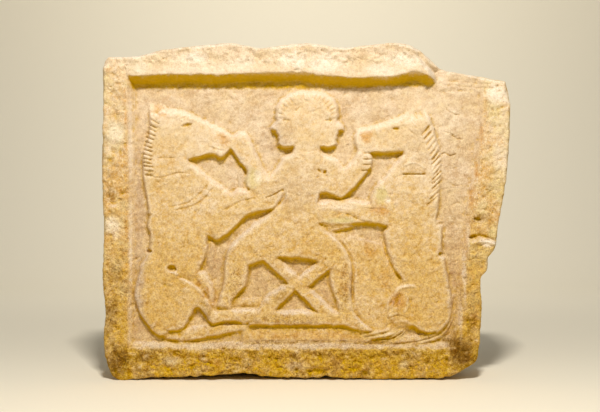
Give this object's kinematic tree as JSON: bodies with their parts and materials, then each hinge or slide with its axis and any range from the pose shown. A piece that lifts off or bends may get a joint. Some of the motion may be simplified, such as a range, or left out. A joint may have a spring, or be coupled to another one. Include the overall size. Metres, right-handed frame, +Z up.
{
  "type": "stone relief panel",
  "caption": "Thick carved stone relief slab with a raised border and top ledge: a two-faced man seated on a folding stool between two rearing horses.",
  "frame": {"origin": "middle of the slab's footprint, at the height of the flat underside that it stands on", "axes": "+Z up, the carved face looks towards -Y, +X to the right of someone facing the carving"},
  "size_m": [0.442, 0.095, 0.364],
  "materials": {
    "sandstone": "carved and weathered, matt"
  },
  "bodies": {
    "root": {"relief_slab": "sandstone"}
  },
  "joints": []
}
